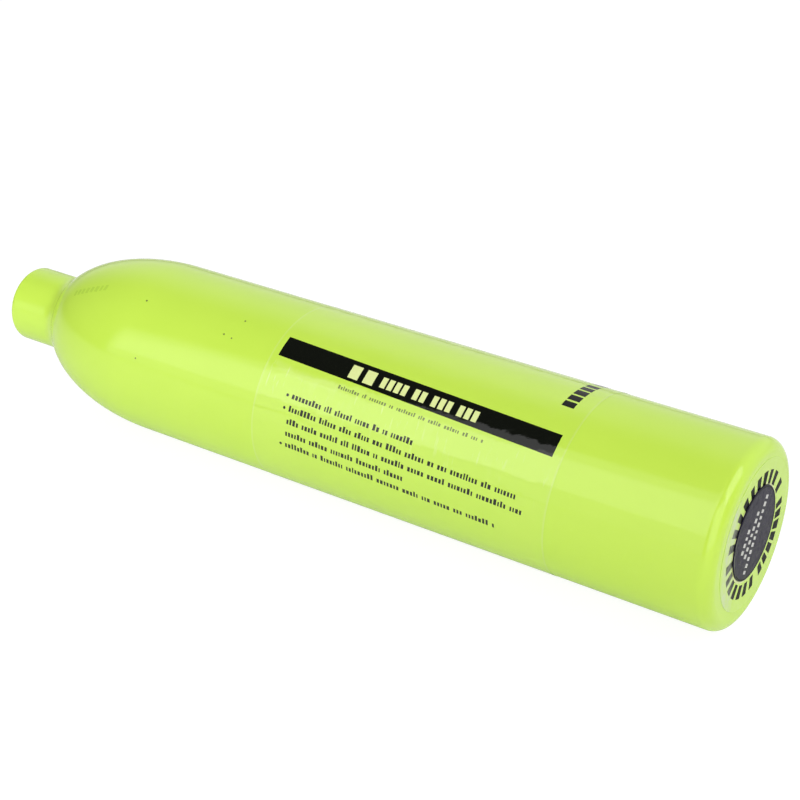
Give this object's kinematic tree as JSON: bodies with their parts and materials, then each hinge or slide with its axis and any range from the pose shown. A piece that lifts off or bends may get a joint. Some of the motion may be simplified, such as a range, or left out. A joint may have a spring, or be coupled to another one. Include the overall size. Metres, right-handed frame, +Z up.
{
  "type": "scuba tank",
  "caption": "Slim bare scuba cylinder lying on its side, with an elliptical dome, a short threaded neck, a clear wrap label, a round base decal and a pull-out mouth plug.",
  "frame": {"origin": "on the surface that the cylinder lies on, below the middle of its length", "axes": "X along the cylinder: the base faces +X and the threaded neck opens towards -X; Z up; the printed side faces -Y and up"},
  "size_m": [0.2726, 0.0574, 0.0573],
  "materials": {
    "lime_paint": "glossy",
    "clear_film": "glossy",
    "print_ink": "glossy",
    "badge_vinyl": "glossy",
    "bare_aluminium": "satin",
    "plug_plastic": "satin",
    "ring_rubber": "matte"
  },
  "bodies": {
    "cylinder": {"cylinder_shell": "lime_paint", "wrap_film": "clear_film", "base_decal": "clear_film", "base_badge": "badge_vinyl"},
    "plug": {"plug_cap": "plug_plastic", "plug_ring": "ring_rubber"}
  },
  "joints": [
    {"name": "plug_pull", "type": "slide", "parent": "cylinder", "child": "plug", "axis": [-1, 0, 0], "range_m": [0, 0.1]}
  ]
}
